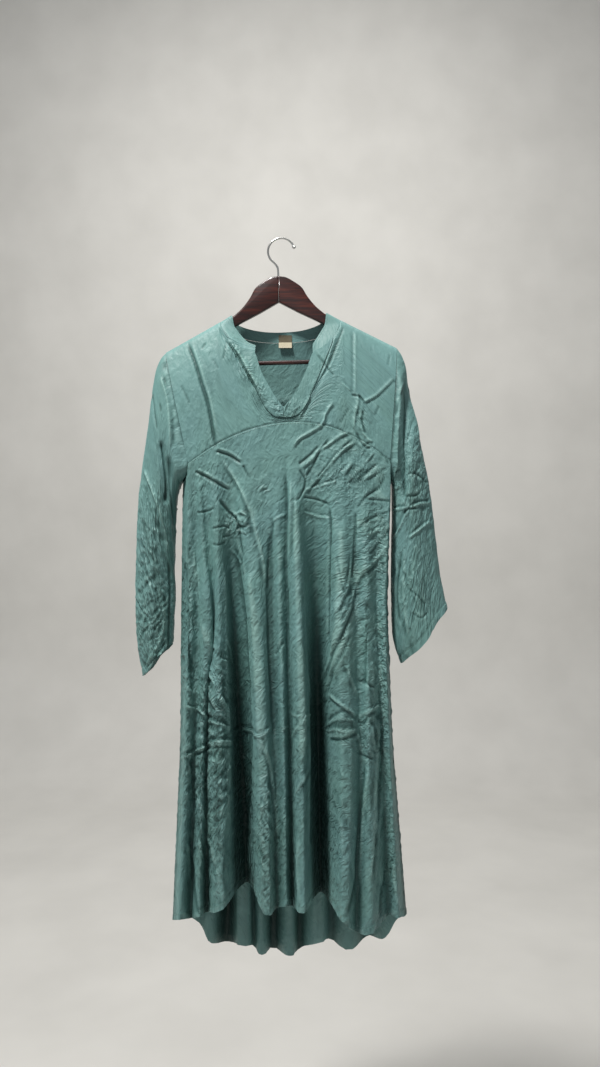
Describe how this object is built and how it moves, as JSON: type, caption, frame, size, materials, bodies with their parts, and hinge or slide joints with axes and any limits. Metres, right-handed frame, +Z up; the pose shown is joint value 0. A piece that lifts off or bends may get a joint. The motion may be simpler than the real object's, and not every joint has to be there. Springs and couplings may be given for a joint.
{
  "type": "midi dress on a hanger",
  "caption": "A-line V-neck midi dress with set-in sleeves, arched front yoke and longer back hem, hanging from a wooden clothes hanger with a wire hook.",
  "frame": {"origin": "the seat of the hook, the inside top of its bend", "axes": "+Z up, -Y the way the front of the dress faces, +X to the right as seen from the front"},
  "size_m": [0.551, 0.2155, 1.3293],
  "materials": {
    "satin": "creased sea-green satin",
    "label": "thin woven ribbon, blank",
    "wood": "dark red-brown varnish",
    "wire": "bright plated wire"
  },
  "bodies": {
    "root": {"front_yoke": "satin", "front_panel": "satin", "back_panel": "satin", "sleeve_left": "satin", "sleeve_right": "satin", "neckband": "satin", "neck_facing_left": "satin", "neck_facing_right": "satin", "neck_label": "label", "hanger_arm_left": "wood", "hanger_arm_right": "wood", "hanger_bar": "wood", "hanger_hook": "wire"}
  },
  "joints": []
}
